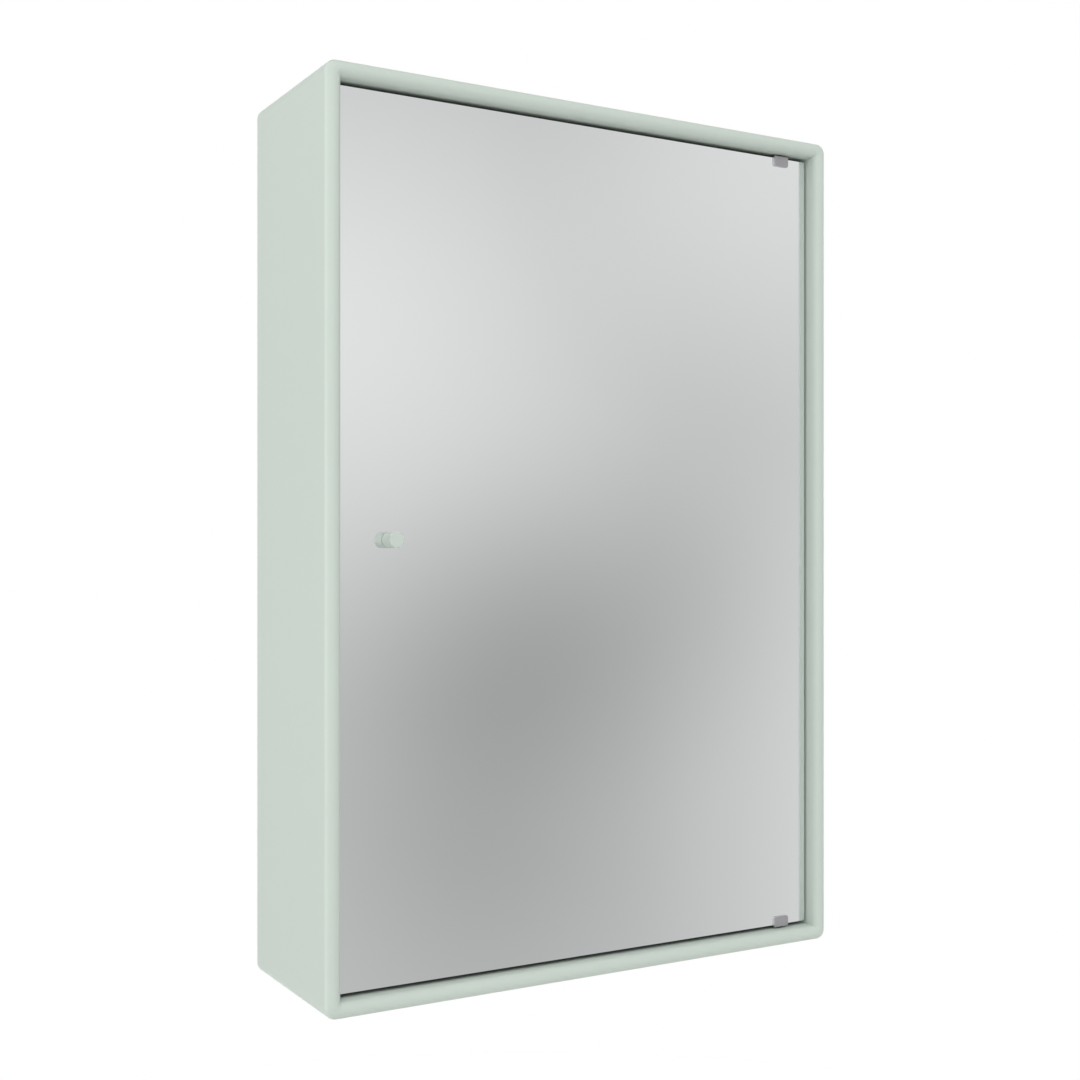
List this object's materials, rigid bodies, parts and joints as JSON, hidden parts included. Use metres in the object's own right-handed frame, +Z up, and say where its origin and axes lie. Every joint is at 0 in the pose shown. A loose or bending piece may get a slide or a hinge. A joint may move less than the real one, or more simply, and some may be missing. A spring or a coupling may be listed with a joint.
{
  "type": "mirror cabinet",
  "caption": "Wall-hung cabinet of mitred lacquered boards with rounded front edges, an inset frameless mirror door on pivot clips, a small knob and glass shelves inside.",
  "frame": {"origin": "on the wall plane, midway between the two wall screw holes of the hanging rail", "axes": "+X to the right seen from the front, +Y into the wall (the door looks along -Y), +Z up"},
  "size_m": [0.467, 0.1498, 0.696],
  "materials": {
    "lacquered_board": "satin pale grey-green lacquer",
    "back_board": "matt pale lacquer on thin board",
    "plain_wood": "planed, unfinished",
    "lacquered_knob": "satin pale grey-green lacquer on a turned piece",
    "clear_glass": "polished, ground edges",
    "silver": "bright silvering",
    "safety_film": "matt grey film",
    "hinge_metal": "satin",
    "zinc_steel": "bright zinc",
    "pin_steel": "ground",
    "clear_pad": "matt translucent",
    "white_plastic": "fine matt",
    "black_plastic": "fine matt",
    "magnet": "sintered, dark",
    "fibre_washer": "matt",
    "foam_tape": "matt",
    "shelf_pin_metal": "bright nickel"
  },
  "bodies": {
    "cabinet": {"left_side_panel": "lacquered_board", "right_side_panel": "lacquered_board", "top_panel": "lacquered_board", "bottom_panel": "lacquered_board", "back_board": "back_board", "corner_splines": "plain_wood", "wall_rail": "zinc_steel", "left_hanger": "zinc_steel", "right_hanger": "zinc_steel", "hanger_screws": "zinc_steel", "shelf_pins": "shelf_pin_metal", "shelf_pads": "clear_pad", "top_pivot_bush": "black_plastic", "bottom_pivot_bush": "black_plastic", "catch_body": "white_plastic", "catch_magnet": "magnet", "catch_pole_plates": "zinc_steel", "catch_screws": "zinc_steel", "glass_shelf_1": "clear_glass", "glass_shelf_2": "clear_glass"},
    "door": {"mirror_glass": "clear_glass", "silver_backing": "silver", "safety_film": "safety_film", "knob": "lacquered_knob", "knob_washers": "fibre_washer", "knob_screw": "zinc_steel", "top_hinge_clip": "hinge_metal", "bottom_hinge_clip": "hinge_metal", "hinge_liners": "clear_pad", "hinge_clamp_plates": "zinc_steel", "hinge_grub_screws": "zinc_steel", "top_pivot_pin": "pin_steel", "bottom_pivot_pin": "pin_steel", "strike_tape": "foam_tape", "strike_plate": "zinc_steel"}
  },
  "joints": [
    {"name": "door_swing", "type": "hinge", "parent": "cabinet", "child": "door", "pos_m": [0.1927, -0.1305, 0], "axis": [0, 0, 1], "range_deg": [0, 110]}
  ]
}
